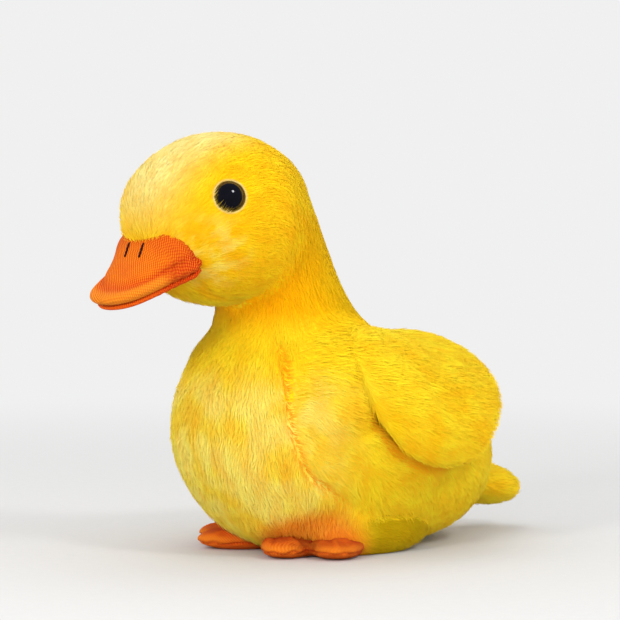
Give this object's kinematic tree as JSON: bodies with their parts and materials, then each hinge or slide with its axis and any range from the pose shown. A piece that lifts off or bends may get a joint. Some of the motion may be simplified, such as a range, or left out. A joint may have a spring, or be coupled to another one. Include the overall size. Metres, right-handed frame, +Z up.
{
  "type": "plush duckling toy",
  "caption": "Stuffed plush duckling that sits on its belly, with liftable sewn-on wings, soft padded bill and feet, plastic button eyes and a pellet-weighted seat.",
  "frame": {"origin": "on the table under the middle of the toy's box", "axes": "+Z up, the duckling faces -Y, its left side is +X"},
  "size_m": [0.1166, 0.207, 0.1598],
  "materials": {
    "yellow_plush": "short soft pile, combed towards the tail",
    "golden_plush": "short soft pile",
    "polyester_fibre": "loose fibre",
    "pouch_cloth": "plain weave",
    "pellet_plastic": "smooth beads",
    "orange_cloth": "fine twill",
    "mouth_cloth": "fine twill, creased",
    "foot_cloth": "short velour",
    "eye_plastic": "polished",
    "washer_plastic": "moulded",
    "dark_thread": "thread",
    "foot_thread": "thread",
    "yellow_thread": "thread"
  },
  "bodies": {
    "duckling": {"head_gusset": "yellow_plush", "left_cheek_panel": "yellow_plush", "right_cheek_panel": "yellow_plush", "left_eye": "eye_plastic", "right_eye": "eye_plastic", "left_eye_washer": "washer_plastic", "right_eye_washer": "washer_plastic", "neck_sleeve": "golden_plush", "breast_panel": "yellow_plush", "belly_panel": "yellow_plush", "left_side_panel": "yellow_plush", "right_side_panel": "yellow_plush", "closing_thread": "yellow_thread", "pellet_bag": "pouch_cloth", "plastic_pellets": "pellet_plastic", "stuffing": "polyester_fibre", "upper_bill": "orange_cloth", "palate": "mouth_cloth", "upper_bill_wadding": "polyester_fibre", "lower_bill": "mouth_cloth", "lower_bill_wadding": "polyester_fibre", "left_nostril_stitch": "dark_thread", "right_nostril_stitch": "dark_thread", "tail_top": "yellow_plush", "tail_underside": "yellow_plush", "tail_wadding": "polyester_fibre", "left_leg_cover": "yellow_plush", "right_leg_cover": "yellow_plush", "left_leg_wadding": "polyester_fibre", "right_leg_wadding": "polyester_fibre"},
    "left_wing": {"left_wing_cover": "yellow_plush", "left_wing_lining": "yellow_plush", "left_wing_wadding": "polyester_fibre"},
    "right_wing": {"right_wing_cover": "yellow_plush", "right_wing_lining": "yellow_plush", "right_wing_wadding": "polyester_fibre"},
    "left_foot": {"left_foot_top": "foot_cloth", "left_foot_sole": "foot_cloth", "left_foot_wadding": "polyester_fibre", "left_toe_stitch": "foot_thread"},
    "right_foot": {"right_foot_top": "foot_cloth", "right_foot_sole": "foot_cloth", "right_foot_wadding": "polyester_fibre", "right_toe_stitch": "foot_thread"}
  },
  "joints": [
    {"name": "left_wing_lift", "type": "hinge", "parent": "duckling", "child": "left_wing", "pos_m": [0.03685, -0.01846, 0.0697], "axis": [0.5874, 0, -0.8093], "range_deg": [0, 55], "stiffness_Nm_per_rad": 0.006, "springref_deg": -11.46},
    {"name": "right_wing_lift", "type": "hinge", "parent": "duckling", "child": "right_wing", "pos_m": [-0.03685, -0.01846, 0.0697], "axis": [0.5874, 0, 0.8093], "range_deg": [0, 55], "stiffness_Nm_per_rad": 0.006, "springref_deg": -11.46},
    {"name": "left_foot_droop", "type": "hinge", "parent": "duckling", "child": "left_foot", "pos_m": [0.0103, -0.00706, 0], "axis": [0.766, 0.6428, 0], "range_deg": [0, 30], "stiffness_Nm_per_rad": 0.004, "springref_deg": -11.46},
    {"name": "right_foot_droop", "type": "hinge", "parent": "duckling", "child": "right_foot", "pos_m": [-0.0103, -0.00706, 0], "axis": [0.766, -0.6428, 0], "range_deg": [0, 30], "stiffness_Nm_per_rad": 0.004, "springref_deg": -11.46}
  ]
}
